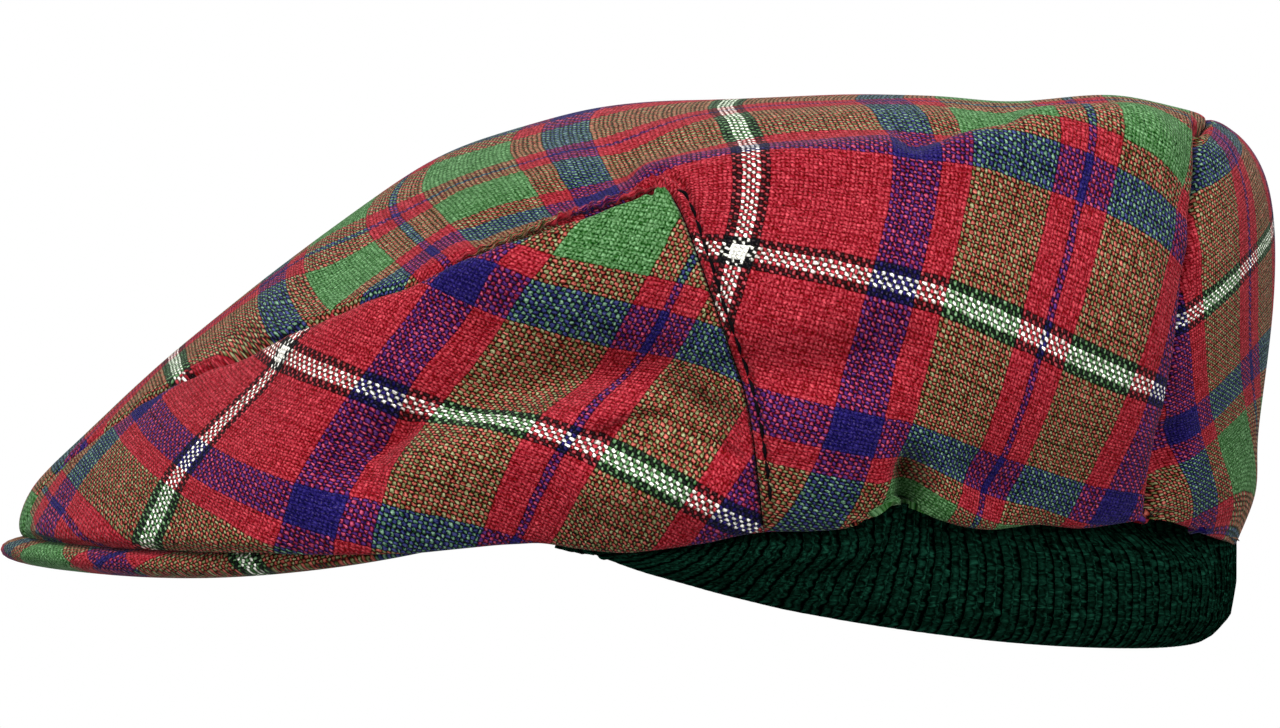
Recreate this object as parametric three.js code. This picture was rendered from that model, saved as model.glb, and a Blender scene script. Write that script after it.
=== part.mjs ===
// Flat cap of woven tartan wool with a ribbed knit band for the ears and neck.
// Millimetres, +Z up, peak towards -Y, wearer's left towards +X.
// The origin is the middle of the head opening, level with the crown's rim.
import * as THREE from 'three';

// Driving dimensions
const CLOTH = 1.6;
const SEAM_GAP = 0.4;
const CROWN_TOP = 98.6;
const CROWN_CENTRE_Y = -30;
const HEM_RISE = 2.6;
const PEAK_THICKNESS = 5.8;
const BAND_THICKNESS = 3.2;
const DEG = Math.PI / 180;

// Crown sections. Each row is an upright cut through the crown's centre at a heading: 0 at the peak,
// 90 at an ear, 180 at the nape. A place in it is its distance from the centre and its height. The
// brow ends the flat of the top, the wall is the slope or shoulder, the belly the fullest place and
// the rim the rolled lower edge. The cloth turned under the rim ends at the distance hem.
const SECTIONS = [
  { heading: 0, brow: [66, 78], wall: [104, 47.8], belly: [141, 14.2], rim: [144.3, 1.4], hem: 138 },
  { heading: 22.5, brow: [64, 80], wall: [98, 52.6], belly: [130.8, 15.2], rim: [132, 1.1], hem: 127 },
  { heading: 45, brow: [62, 84], wall: [91, 62.8], belly: [117.5, 20], rim: [116, 0.7], hem: 112.5 },
  { heading: 67.5, brow: [64, 88], wall: [83.5, 72], belly: [100, 29], rim: [95, 2.5], hem: 88 },
  { heading: 90, brow: [70, 90], wall: [86, 75], belly: [96.5, 36], rim: [87, 1.8], hem: 81 },
  { heading: 112.5, brow: [80, 92], wall: [95, 78], belly: [104.5, 40], rim: [94, 6], hem: 88 },
  { heading: 135, brow: [96, 94.5], wall: [114, 81], belly: [124, 43], rim: [112, 6.5], hem: 106 },
  { heading: 157.5, brow: [107, 97.8], wall: [128, 87], belly: [135, 50], rim: [126, 4], hem: 122.5 },
  { heading: 180, brow: [108, 97.2], wall: [131.5, 89.5], belly: [136.8, 57], rim: [129.4, 0], hem: 128.5 },
];

// How far down a section its places lie, from 0 at the crown's centre to 1 at the hem's end. The crest
// lies part of the way out to the brow, and has dropped by a share of the brow's drop.
const LEVEL = { crest: 0.26, brow: 0.5, wall: 0.66, belly: 0.82, rim: 0.95 };
const CREST = { reach: 0.5, drop: 0.26 };

// Dents and swellings of the worn cloth, the same on both sides. Each is centred at a heading and a
// level and fades over a spread of both: sink is how far it goes in, lift how far it goes up.
const DENTS = [
  { name: 'tack in the rim', at: [119, 0.95], spread: [3.6, 0.1], sink: 5, lift: 2 },
  { name: 'crease by the ear', at: [91, 0.855], spread: [8, 0.03], sink: 2.4, lift: 0 },
  { name: 'back seam', at: [149.5, 0.86], spread: [3.2, 0.12], sink: 3.5, lift: 0 },
  { name: 'back seam at the shoulder', at: [155, 0.68], spread: [3.5, 0.07], sink: 3, lift: 0 },
  { name: 'hollow by the front seam', at: [66, 0.62], spread: [16, 0.05], sink: 1.5, lift: 0 },
  { name: 'fullness of the top', at: [180, 0.22], spread: [80, 0.16], sink: -1.7, lift: 0 },
];

// Seams of the left half, as places on the crown: the front seam's foot beside the peak's middle, the
// front seam up to the shoulder, the ear seam down to the rim, the back seam up from the rim, and the
// back panel's upper edge to its middle.
const FRONT_FOOT = [
  { heading: 4.5, level: 1 },
  { heading: 4.9, level: 0.91 },
  { heading: 6, level: 0.82 },
];
const FRONT_SEAM = [
  { heading: 6, level: 0.82 },
  { heading: 12.5, level: 0.745 },
  { heading: 24, level: 0.715 },
  { heading: 42, level: 0.71 },
  { heading: 58, level: 0.69 },
  { heading: 75, level: 0.66 },
  { heading: 90, level: 0.63 },
];
const EAR_SEAM = [
  { heading: 90, level: 0.63 },
  { heading: 95.5, level: 0.75 },
  { heading: 100.5, level: 0.86 },
  { heading: 104.3, level: 1 },
];
const BACK_SEAM = [
  { heading: 150, level: 1 },
  { heading: 148.8, level: 0.9 },
  { heading: 149, level: 0.8 },
  { heading: 153.5, level: 0.71 },
  { heading: 160, level: 0.61 },
];
const BACK_EDGE = [
  { heading: 160, level: 0.61 },
  { heading: 170, level: 0.585 },
  { heading: 180, level: 0.575 },
];

// Half the seam gap, on the disk of headings and levels.
const GAP_HEADING = SEAM_GAP / 2 / 100 / DEG;
const GAP_LEVEL = SEAM_GAP / 2 / 150;

// Cells of the crown panels' grids.
const CELLS = { strip: 8, foot: 9, front: 16, wall: 9, sideBack: 18, back: 12 };

// Peak, from its middle to a corner: lip is how far its edge stands out past the crown's rim.
const PEAK_EDGE = [
  { heading: 0, lip: 5.5 },
  { heading: 22, lip: 5 },
  { heading: 34, lip: 1.5 },
  { heading: 45, lip: -4.5 },
  { heading: 54, lip: -6.5 },
  { heading: 63, lip: -9.5 },
];
const PEAK = {
  topZ: 1, arch: 1.4, archHalfWidth: 85, riseFrom: -150, riseTo: -50, rise: 16, edgeShare: 0.4,
};
const PEAK_ROOT = { halfWidth: 76, reach: 97, angle: 62 };
const PEAK_CELLS = { around: 26, across: 6 };

// Knit band, from its front end to the nape: the height of its lower edge.
const BAND_EDGE = [
  { heading: 72, z: 4.5 },
  { heading: 80, z: 0 },
  { heading: 90, z: -5 },
  { heading: 105, z: -10.8 },
  { heading: 122, z: -15.8 },
  { heading: 142, z: -20.2 },
  { heading: 160, z: -22 },
  { heading: 180, z: -22 },
];
const BAND = { topZ: 11, pullIn: 6, straightShare: 0.7, ribs: 100, ribHeight: 0.8, rows: 4 };

// Columns of a table, numbers or lists of them, as one smooth function of the row's heading.
function smoothRows(rows, columns, ending) {
  const headings = rows.map((row) => row.heading);
  const values = rows.map((row) => columns.flatMap((column) => row[column]));
  const curve = new THREE.CubicInterpolant(headings, values.flat(), values[0].length);
  curve.settings = { endingStart: ending, endingEnd: ending };
  return (heading) => {
    const within = THREE.MathUtils.clamp(heading, headings[0], headings.at(-1));
    return Array.from(curve.evaluate(within));
  };
}

const sectionAt = smoothRows(SECTIONS, ['brow', 'wall', 'belly', 'rim', 'hem'], THREE.ZeroSlopeEnding);
const rimRadius = smoothRows(SECTIONS, ['rim'], THREE.ZeroSlopeEnding);
const hemRadius = smoothRows(SECTIONS, ['hem'], THREE.ZeroSlopeEnding);

// The place at a level of a section, as distance from the centre and height.
function sectionPlace(heading, level) {
  const [browR, browZ, wallR, wallZ, bellyR, bellyZ, rimR, rimZ, hemR] = sectionAt(heading);
  const crestR = browR * CREST.reach;
  const crestZ = CROWN_TOP - (CROWN_TOP - browZ) * CREST.drop;
  const levels = [-LEVEL.crest, 0, LEVEL.crest, LEVEL.brow, LEVEL.wall, LEVEL.belly, LEVEL.rim, 1];
  const places = [
    [-crestR, crestZ], [0, CROWN_TOP], [crestR, crestZ], [browR, browZ],
    [wallR, wallZ], [bellyR, bellyZ], [rimR, rimZ], [hemR, rimZ + HEM_RISE],
  ];
  return new THREE.CubicInterpolant(levels, places.flat(), 2).evaluate(level);
}

// Places on the crown are points of a disk: x to the wearer's left, y to the back, the hem its edge.
function diskPoint(heading, level) {
  return new THREE.Vector2(level * Math.sin(heading * DEG), -level * Math.cos(heading * DEG));
}

function headingOf(point) {
  return Math.abs(Math.atan2(point.x, -point.y)) / DEG;
}

function aroundCentre(turn, radius, z) {
  return new THREE.Vector3(radius * Math.sin(turn), CROWN_CENTRE_Y - radius * Math.cos(turn), z);
}

function smoothCrown(point) {
  const [radius, z] = sectionPlace(headingOf(point), point.length());
  return aroundCentre(Math.atan2(point.x, -point.y), radius, z);
}

// Outward normal of a surface over the disk, from short steps that stay on it.
function normalOn(surface, point) {
  const step = 0.004;
  const inward = point.length() > step ? point.clone().setLength(-step) : new THREE.Vector2(0, step);
  const aside = new THREE.Vector2(inward.y, -inward.x);
  const alongIn = surface(point.clone().add(inward)).sub(surface(point));
  const alongSide = surface(point.clone().add(aside)).sub(surface(point.clone().sub(aside)));
  return alongSide.cross(alongIn).normalize();
}

function crownSurface(point) {
  const place = smoothCrown(point);
  let sink = 0;
  for (const { at, spread, sink: depth, lift } of DENTS) {
    const aside = (headingOf(point) - at[0]) / spread[0];
    const down = (point.length() - at[1]) / spread[1];
    const share = Math.exp(-aside * aside - down * down);
    sink += depth * share;
    place.z += lift * share;
  }
  return place.addScaledVector(normalOn(smoothCrown, point), -sink);
}

// A closed body between two skins that share their quads. An edge that only one quad has gets a strip.
function closedBody(outer, inner, quads) {
  const count = outer.length;
  const triangles = [];
  const openEdges = new Map();
  for (const quad of quads) {
    const [a, b, c, d] = quad;
    const [e, f, g, h] = quad.map((vertex) => vertex + count);
    triangles.push(a, b, c, a, c, d, e, g, f, e, h, g);
    quad.forEach((from, k) => {
      const to = quad[(k + 1) % quad.length];
      if (!openEdges.delete(`${to} ${from}`)) openEdges.set(`${from} ${to}`, [from, to]);
    });
  }
  for (const [from, to] of openEdges.values()) {
    triangles.push(from, from + count, to + count, from, to + count, to);
  }
  const places = [...outer, ...inner].flatMap((place) => place.toArray());
  const geometry = new THREE.BufferGeometry();
  geometry.setAttribute('position', new THREE.Float32BufferAttribute(places, 3));
  geometry.setIndex(triangles);
  return geometry;
}

// A wall of cloth under cells of the crown's disk; cells that share a corner share its vertex.
function clothBody(cells) {
  const points = [];
  const vertices = new Map();
  const vertexOf = (point) => {
    const key = point.toArray().map((value) => Math.round(value * 1e5)).join(' ');
    if (!vertices.has(key)) vertices.set(key, points.push(point) - 1);
    return vertices.get(key);
  };
  const quads = cells.map((corners) => corners.map(vertexOf));
  const outer = points.map(crownSurface);
  const normals = points.map((point) => normalOn(crownSurface, point));
  const inner = outer.map((place, i) => place.clone().addScaledVector(normals[i], -CLOTH));
  return closedBody(outer, inner, quads);
}

const evenSteps = (count) => Array.from({ length: count + 1 }, (_, i) => i / count);
const mirrored = (point) => new THREE.Vector2(-point.x, point.y);
const mirroredCells = (cells) => cells.map((corners) => corners.map(mirrored).reverse());

// Steps from 0 to 1 that shorten towards 1, where the cloth rolls under at the rim.
const crowdToRim = (t) => t * (1.45 - 0.45 * t);
const stepsFromRim = (count) => evenSteps(count).map((t) => 1 - crowdToRim(1 - t));

// A seam as a curve on the disk from 0 to 1, moved to one panel's side of the gap. The shifts at its
// two ends are in half gaps of heading and level.
function seamCurve(rows, startShift, endShift) {
  const curve = new THREE.SplineCurve(rows.map((row) => new THREE.Vector2(row.heading, row.level)));
  return (t) => {
    const row = curve.getPoint(t);
    const shiftHeading = THREE.MathUtils.lerp(startShift[0], endShift[0], t);
    const shiftLevel = THREE.MathUtils.lerp(startShift[1], endShift[1], t);
    return diskPoint(row.x + shiftHeading * GAP_HEADING, row.y + shiftLevel * GAP_LEVEL);
  };
}

// The left half's seams for the panels on one side of them: 1 for the front side and back panels,
// -1 for the top panel.
function seamsFor(side) {
  return {
    foot: seamCurve(FRONT_FOOT, [side, 0], [side, side]),
    front: seamCurve(FRONT_SEAM, [side, side], [-side, side]),
    ear: seamCurve(EAR_SEAM, [-side, side], [-side, 0]),
    back: seamCurve(BACK_SEAM, [side, 0], [side, side]),
    backEdge: seamCurve(BACK_EDGE, [side, side], [0, side]),
  };
}

function rimCurve(from, to) {
  const [start, end] = [from, to].map((point) => Math.atan2(point.x, -point.y) / DEG);
  const sweep = THREE.MathUtils.euclideanModulo(end - start, 360);
  return (t) => diskPoint(start + sweep * t, 1);
}

function lineCurve(from, to) {
  return (t) => from.clone().lerp(to, t);
}

const reversed = (curve) => (t) => curve(1 - t);
const mirroredCurve = (curve) => (t) => mirrored(curve(t));

// Curves end to end, each over as many equal steps as it has cells.
function chain(...links) {
  const total = links.reduce((sum, link) => sum + link.cells, 0);
  return (t) => {
    let place = t * total;
    let k = 0;
    while (k + 1 < links.length && place > links[k].cells) {
      place -= links[k].cells;
      k += 1;
    }
    return links[k].curve(place / links[k].cells);
  };
}

// Cells of a four-sided patch. start and end run across it, left and right along it.
function patchCells({ start, end, left, right }, columns, rows) {
  const corner = { a: start(0), b: start(1), c: end(0), d: end(1) };
  const placeAt = (s, t) => start(s).multiplyScalar(1 - t)
    .addScaledVector(end(s), t)
    .addScaledVector(left(t), 1 - s)
    .addScaledVector(right(t), s)
    .addScaledVector(corner.a, -(1 - s) * (1 - t))
    .addScaledVector(corner.b, -s * (1 - t))
    .addScaledVector(corner.c, -(1 - s) * t)
    .addScaledVector(corner.d, -s * t);
  const places = rows.map((t) => columns.map((s) => placeAt(s, t)));
  const cells = [];
  for (let j = 0; j + 1 < rows.length; j += 1) {
    for (let i = 0; i + 1 < columns.length; i += 1) {
      cells.push([places[j][i], places[j][i + 1], places[j + 1][i + 1], places[j + 1][i]]);
    }
  }
  return cells;
}

// The top panel: a tapering strip over the front, and behind it the top and both side-back walls.
function topPanelCells() {
  const { foot, front, ear, back, backEdge } = seamsFor(-1);
  const shoulder = ear(0);
  const shoulderLine = lineCurve(mirrored(shoulder), shoulder);
  const earDown = (t) => ear(crowdToRim(t));
  const backUp = (t) => back(1 - crowdToRim(1 - t));
  const footUp = (t) => foot(1 - crowdToRim(1 - t));
  const stripEdge = chain({ curve: footUp, cells: CELLS.foot }, { curve: front, cells: CELLS.front });
  const strip = patchCells(
    {
      start: rimCurve(mirrored(foot(0)), foot(0)),
      end: shoulderLine,
      left: mirroredCurve(stripEdge),
      right: stripEdge,
    },
    evenSteps(CELLS.strip),
    evenSteps(CELLS.foot + CELLS.front),
  );
  const half = CELLS.strip / 2;
  const frontLine = chain(
    { curve: mirroredCurve(reversed(earDown)), cells: CELLS.wall },
    { curve: shoulderLine, cells: CELLS.strip },
    { curve: earDown, cells: CELLS.wall },
  );
  const backLine = chain(
    { curve: mirroredCurve(backUp), cells: CELLS.wall },
    { curve: mirroredCurve(backEdge), cells: half },
    { curve: reversed(backEdge), cells: half },
    { curve: reversed(backUp), cells: CELLS.wall },
  );
  const leftRim = rimCurve(ear(1), back(0));
  const rear = patchCells(
    { start: frontLine, end: backLine, left: mirroredCurve(leftRim), right: leftRim },
    evenSteps(CELLS.strip + 2 * CELLS.wall),
    evenSteps(CELLS.sideBack),
  );
  return [...strip, ...rear];
}

function frontSideCells() {
  const { foot, front, ear } = seamsFor(1);
  return patchCells(
    { start: rimCurve(foot(0), ear(1)), end: front, left: foot, right: reversed(ear) },
    evenSteps(CELLS.front),
    stepsFromRim(CELLS.wall),
  );
}

function backPanelCells() {
  const { back, backEdge } = seamsFor(1);
  const half = CELLS.back / 2;
  return patchCells(
    {
      start: rimCurve(back(0), mirrored(back(0))),
      end: chain({ curve: backEdge, cells: half }, { curve: mirroredCurve(reversed(backEdge)), cells: half }),
      left: back,
      right: mirroredCurve(back),
    },
    evenSteps(CELLS.back),
    stepsFromRim(CELLS.wall),
  );
}

// The peak: a crescent board whose edge thins out round the front and whose corners rise to the rim.
function peakBody() {
  const lipAt = smoothRows(PEAK_EDGE, ['lip'], THREE.ZeroCurvatureEnding);
  const top = [];
  const bottom = [];
  for (const around of evenSteps(PEAK_CELLS.around)) {
    const side = 2 * around - 1;
    const heading = side * PEAK_EDGE.at(-1).heading;
    const rootTurn = side * PEAK_ROOT.angle * DEG;
    const rootX = PEAK_ROOT.halfWidth * Math.sin(rootTurn);
    const root = new THREE.Vector3(rootX, -PEAK_ROOT.reach * Math.cos(rootTurn), 0);
    const radius = rimRadius(Math.abs(heading))[0] + lipAt(Math.abs(heading))[0];
    const edge = aroundCentre(heading * DEG, radius, 0);
    for (const across of evenSteps(PEAK_CELLS.across).map(crowdToRim)) {
      const place = root.clone().lerp(edge, across);
      const sag = PEAK.arch * (place.x / PEAK.archHalfWidth) ** 2;
      const back = Math.max(0, (place.y - PEAK.riseFrom) / (PEAK.riseTo - PEAK.riseFrom));
      const middle = PEAK.topZ - PEAK_THICKNESS / 2 - sag + PEAK.rise * back * back;
      const half = PEAK_THICKNESS / 2 * (across < 1 ? 1 : PEAK.edgeShare);
      top.push(place.clone().setZ(middle + half));
      bottom.push(place.clone().setZ(middle - half));
    }
  }
  return closedBody(top, bottom, gridQuads(PEAK_CELLS.around, PEAK_CELLS.across));
}

// Quads of a grid whose vertices are listed line by line.
function gridQuads(lines, cells) {
  const quads = [];
  for (let i = 0; i < lines; i += 1) {
    for (let j = 0; j < cells; j += 1) {
      const corner = i * (cells + 1) + j;
      quads.push([corner, corner + cells + 1, corner + cells + 2, corner + 1].reverse());
    }
  }
  return quads;
}

// The knit band: ribs at an even pitch round the oval that the hem leaves open, pulled in below.
function bandBody() {
  const edgeAt = smoothRows(BAND_EDGE, ['z'], THREE.ZeroSlopeEnding);
  const firstHeading = BAND_EDGE[0].heading;
  const oval = evenSteps(36).map((t) => {
    const turn = THREE.MathUtils.lerp(firstHeading, 360 - firstHeading, t);
    return aroundCentre(turn * DEG, hemRadius(Math.min(turn, 360 - turn))[0] - SEAM_GAP, BAND.topZ);
  });
  const line = new THREE.CatmullRomCurve3(oval);
  const outer = [];
  const inner = [];
  const columns = 2 * BAND.ribs;
  for (let i = 0; i <= columns; i += 1) {
    const place = line.getPointAt(i / columns);
    const tangent = line.getTangentAt(i / columns);
    const inward = new THREE.Vector3(-tangent.y, tangent.x, 0).normalize();
    const heading = Math.abs(Math.atan2(place.x, CROWN_CENTRE_Y - place.y)) / DEG;
    const ribDepth = i % 2 === 0 ? BAND.ribHeight : 0;
    for (const down of evenSteps(BAND.rows).map(crowdToRim)) {
      const pull = Math.max(0, (down - BAND.straightShare) / (1 - BAND.straightShare)) ** 2 * BAND.pullIn;
      const z = THREE.MathUtils.lerp(BAND.topZ, edgeAt(heading)[0], down);
      outer.push(place.clone().addScaledVector(inward, pull + ribDepth).setZ(z));
      inner.push(place.clone().addScaledVector(inward, pull + ribDepth + BAND_THICKNESS).setZ(z));
    }
  }
  return closedBody(outer, inner, gridQuads(columns, BAND.rows));
}

const tartan = new THREE.MeshStandardMaterial({ color: '#8c3a3c', roughness: 0.9, metalness: 0 });
const knit = new THREE.MeshStandardMaterial({ color: '#0b2419', roughness: 0.95, metalness: 0 });

function piece(name, geometry, material) {
  const mesh = new THREE.Mesh(geometry, material.clone());
  mesh.name = name;
  return mesh;
}

const cap = new THREE.Group();
cap.add(
  piece('top_panel', clothBody(topPanelCells()), tartan),
  piece('front_side_left', clothBody(frontSideCells()), tartan),
  piece('front_side_right', clothBody(mirroredCells(frontSideCells())), tartan),
  piece('back_panel', clothBody(backPanelCells()), tartan),
  piece('peak', peakBody(), tartan),
  piece('knit_band', bandBody(), knit),
);

export default cap;
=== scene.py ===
# Flat cap of tartan wool with a ribbed knit ear band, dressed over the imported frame.
# Metres, +Z up, peak towards -Y, wearer's left towards +X.
import math

import bmesh
import bpy
import numpy as np
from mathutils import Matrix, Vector, interpolate, kdtree, noise


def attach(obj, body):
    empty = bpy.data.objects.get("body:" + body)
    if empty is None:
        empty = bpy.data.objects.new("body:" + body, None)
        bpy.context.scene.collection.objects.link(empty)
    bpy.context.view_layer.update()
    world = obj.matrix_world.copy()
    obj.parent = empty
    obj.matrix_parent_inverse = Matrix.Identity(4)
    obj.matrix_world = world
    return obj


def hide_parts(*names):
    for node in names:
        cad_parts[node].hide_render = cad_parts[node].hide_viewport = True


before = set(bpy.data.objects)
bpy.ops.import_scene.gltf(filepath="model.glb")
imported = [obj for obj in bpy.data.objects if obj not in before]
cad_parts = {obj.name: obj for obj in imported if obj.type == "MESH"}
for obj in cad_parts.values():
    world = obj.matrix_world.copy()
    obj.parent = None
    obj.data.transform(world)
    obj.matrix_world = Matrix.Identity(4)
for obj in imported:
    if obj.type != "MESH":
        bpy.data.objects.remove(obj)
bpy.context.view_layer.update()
scene = bpy.context.scene
print("frame:", len(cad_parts), "nodes")


# Camera: level with the cap, on the wearer's left
photoView = {
    "imageSize": (1280, 728),          # pixels
    "lookAt": (0.0, -0.036, 0.0396),
    "distance": 1.6,
    "above": 1.0,                      # degrees above level
    "pixelSize": 0.000225,             # what a pixel covers at lookAt
    "sensor": 36.0,                    # millimetres
}


def photoAxes():
    tilt = math.radians(photoView["above"])
    toCamera = Vector((math.cos(tilt), 0, math.sin(tilt)))
    right = Vector((0, 1, 0))
    return toCamera, right, toCamera.cross(right)


def photoRay(pixel, side=1):
    # a ray through a pixel of the photo, or with side -1 its mirror image from the right
    width, height = photoView["imageSize"]
    toCamera, right, up = photoAxes()
    lookAt = Vector(photoView["lookAt"])
    eye = lookAt + toCamera * photoView["distance"]
    across = (pixel[0] - width / 2) * photoView["pixelSize"]
    rise = (height / 2 - pixel[1]) * photoView["pixelSize"]
    ray = (lookAt + right * across + up * rise - eye).normalized()
    return Vector((eye.x * side, eye.y, eye.z)), Vector((ray.x * side, ray.y, ray.z))


def photoPixel(place):
    # where a place shows in the photo; the right side counts as the left's mirror image
    width, height = photoView["imageSize"]
    toCamera, right, up = photoAxes()
    offset = Vector((abs(place.x), place.y, place.z)) - Vector(photoView["lookAt"])
    scale = photoView["distance"] / (photoView["distance"] - offset.dot(toCamera)) / photoView["pixelSize"]
    return Vector((width / 2 + offset.dot(right) * scale, height / 2 - offset.dot(up) * scale))


def makeCamera():
    toCamera = photoAxes()[0]
    lookAt = Vector(photoView["lookAt"])
    bpy.ops.object.camera_add(location=lookAt + toCamera * photoView["distance"])
    camera = bpy.context.object
    camera.name = "photoCamera"
    camera.rotation_euler = toCamera.to_track_quat("Z", "Y").to_euler()
    frameWidth = photoView["imageSize"][0] * photoView["pixelSize"]
    camera.data.sensor_width = photoView["sensor"]
    camera.data.lens = photoView["sensor"] * photoView["distance"] / frameWidth
    camera.data.clip_end = 50
    scene.camera = camera


studio = {
    "floorDrop": 0.2,       # floor below the origin, since the cap is held up
    "floorRadius": 2.2,
    "floorColor": (0.86, 0.86, 0.85),
    "skyLight": 0.50,
    "groundLight": 0.29,
    "key": {"place": (1.0, -0.6, 1.9), "size": 0.9, "power": 38},
    "fill": {"place": (1.5, 1.5, 0.7), "size": 1.4, "power": 26},
    "low": {"place": (1.7, -0.9, 0.3), "size": 1.2, "power": 12},
    "back": {"place": (-1.2, 0.3, 1.7), "size": 1.4, "power": 8},
}


def makeStudio():
    bpy.ops.mesh.primitive_circle_add(
        vertices=96, radius=studio["floorRadius"], fill_type="NGON", location=(0, 0, 0))
    floor = bpy.context.object
    floor.name = "studioFloor"
    for vertex in floor.data.vertices:
        vertex.co.z = -studio["floorDrop"]
    paint = bpy.data.materials.new("paleFloor")
    paint.use_nodes = True
    shader = paint.node_tree.nodes["Principled BSDF"]
    shader.inputs["Base Color"].default_value = (*studio["floorColor"], 1)
    shader.inputs["Roughness"].default_value = 0.7
    floor.data.materials.append(paint)
    floor.visible_diffuse = False

    # white behind the cap, and a softer sky light on it, weaker from below
    world = bpy.data.worlds.new("studioWorld")
    scene.world = world
    world.use_nodes = True
    nodes, links = world.node_tree.nodes, world.node_tree.links
    sky = nodes["Background"]
    sky.inputs["Color"].default_value = (1, 1, 1, 1)
    way = nodes.new("ShaderNodeTexCoord")
    split = nodes.new("ShaderNodeSeparateXYZ")
    rise = nodes.new("ShaderNodeMapRange")
    rise.inputs["From Min"].default_value = -0.5
    rise.inputs["From Max"].default_value = 0.6
    rise.inputs["To Min"].default_value = studio["groundLight"]
    rise.inputs["To Max"].default_value = studio["skyLight"]
    links.new(way.outputs["Generated"], split.inputs["Vector"])
    links.new(split.outputs["Z"], rise.inputs["Value"])
    links.new(rise.outputs["Result"], sky.inputs["Strength"])
    backdrop = nodes.new("ShaderNodeBackground")
    backdrop.inputs["Color"].default_value = (1, 1, 1, 1)
    seen = nodes.new("ShaderNodeLightPath")
    pick = nodes.new("ShaderNodeMixShader")
    links.new(seen.outputs["Is Camera Ray"], pick.inputs["Fac"])
    links.new(sky.outputs["Background"], pick.inputs[1])
    links.new(backdrop.outputs["Background"], pick.inputs[2])
    links.new(pick.outputs["Shader"], nodes["World Output"].inputs["Surface"])

    for name in ("key", "fill", "low", "back"):
        light = studio[name]
        place = Vector(light["place"])
        bpy.ops.object.light_add(type="AREA", location=place)
        lamp = bpy.context.object
        lamp.name = name + "Light"
        lamp.rotation_euler = (place - Vector(photoView["lookAt"])).to_track_quat("Z", "Y").to_euler()
        lamp.data.size = light["size"]
        lamp.data.energy = light["power"]
    scene.view_settings.view_transform = "Standard"


def makeActive(piece):
    bpy.ops.object.select_all(action="DESELECT")
    piece.select_set(True)
    bpy.context.view_layer.objects.active = piece


def applyModifier(piece, kind, **settings):
    makeActive(piece)
    modifier = piece.modifiers.new(kind.lower(), kind)
    for name, value in settings.items():
        setattr(modifier, name, value)
    bpy.ops.object.modifier_apply(modifier=modifier.name)


makeCamera()
makeStudio()
print("camera, lights and floor")


# Shader helpers: one math node, its inputs sockets or plain numbers
def mathNode(tree, operation, *values, clamp=False):
    node = tree.nodes.new("ShaderNodeMath")
    node.operation = operation
    node.use_clamp = clamp
    for socket, value in zip(node.inputs, values):
        if isinstance(value, (int, float)):
            socket.default_value = value
        else:
            tree.links.new(value, socket)
    return node.outputs[0]


def mixColors(tree, blend, share, first, second):
    node = tree.nodes.new("ShaderNodeMix")
    node.data_type = "RGBA"
    node.blend_type = blend
    for socket, value in ((node.inputs[0], share), (node.inputs[6], first), (node.inputs[7], second)):
        if isinstance(value, (int, float)):
            socket.default_value = value
        elif isinstance(value, tuple):
            socket.default_value = (*value, 1)
        else:
            tree.links.new(value, socket)
    return node.outputs[2]


def brightness(tree, color):
    node = tree.nodes.new("ShaderNodeRGBToBW")
    tree.links.new(color, node.inputs["Color"])
    return node.outputs["Val"]


def noiseNode(tree, vector, scale, detail=2.0):
    node = tree.nodes.new("ShaderNodeTexNoise")
    tree.links.new(vector, node.inputs["Vector"])
    node.inputs["Scale"].default_value = scale
    node.inputs["Detail"].default_value = detail
    return node


def joinXYZ(tree, x, y, z=0.0):
    node = tree.nodes.new("ShaderNodeCombineXYZ")
    for socket, value in zip(node.inputs, (x, y, z)):
        if isinstance(value, (int, float)):
            socket.default_value = value
        else:
            tree.links.new(value, socket)
    return node.outputs[0]


def newGroup(name, inputs, outputs):
    group = bpy.data.node_groups.new(name, "ShaderNodeTree")
    for socketName, kind in inputs:
        group.interface.new_socket(socketName, in_out="INPUT", socket_type=kind)
    for socketName, kind in outputs:
        group.interface.new_socket(socketName, in_out="OUTPUT", socket_type=kind)
    return group, group.nodes.new("NodeGroupInput"), group.nodes.new("NodeGroupOutput")


# The sett, from its white pivot to its single navy pivot, in threads. It mirrors at both pivots.
tartan = {
    "pitch": 0.00092,     # from thread to thread
    "halfSett": [("white", 2), ("black", 2), ("red", 26), ("navy", 11), ("red", 7), ("green", 21),
                 ("red", 7), ("navy", 1)],
    "dyes": {
        "white": (0.96, 0.95, 0.86),
        "black": (0.006, 0.006, 0.009),
        "red": (0.318, 0.014, 0.026),
        "green": (0.068, 0.188, 0.060),
        "navy": (0.017, 0.011, 0.126),
    },
    "wander": 0.45,       # how far threads stray from straight, in threads
    "jitter": 0.32,
    "spacing": 0.22,      # how unevenly threads lie beside each other
    "twist": 0.30,
    "crimp": 0.42,        # how far threads rise and dip over each other, to their roundness
    "gapShade": 0.24,     # painted shade: light left between threads
    "floatLight": 1.62,   # painted highlight on the middle of a float
    "gapHeight": 0.58,    # below this threads are in the gaps
    "unevenYarn": 0.42,   # from the palest float to the darkest
    "bleed": 0.28,        # how much of a thread's dye shows through those that cross it
    "highlightPaling": 0.52,      # how far the painted highlight pales floats as they get brighter, and the painted shade darkens the gaps
    "fuzzHighlight": 0.25,
    "evenGap": 0.56,      # how far the painted shade in the gaps lifts where a colour crosses itself
    "pullReach": 0.045,   # how far a mark pulls the cloth with it
}
settLength = sum(count for dye, count in tartan["halfSett"])


def settRamp(tree, place):
    ramp = tree.nodes.new("ShaderNodeValToRGB")
    ramp.color_ramp.interpolation = "CONSTANT"
    stops = ramp.color_ramp.elements
    done = 0
    for k, (dye, count) in enumerate(tartan["halfSett"]):
        stop = stops[k] if k < 2 else stops.new(done / settLength)
        stop.position = done / settLength
        stop.color = (*tartan["dyes"][dye], 1)
        done += count
    tree.links.new(place, ramp.inputs["Fac"])
    return ramp.outputs["Color"]


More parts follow.
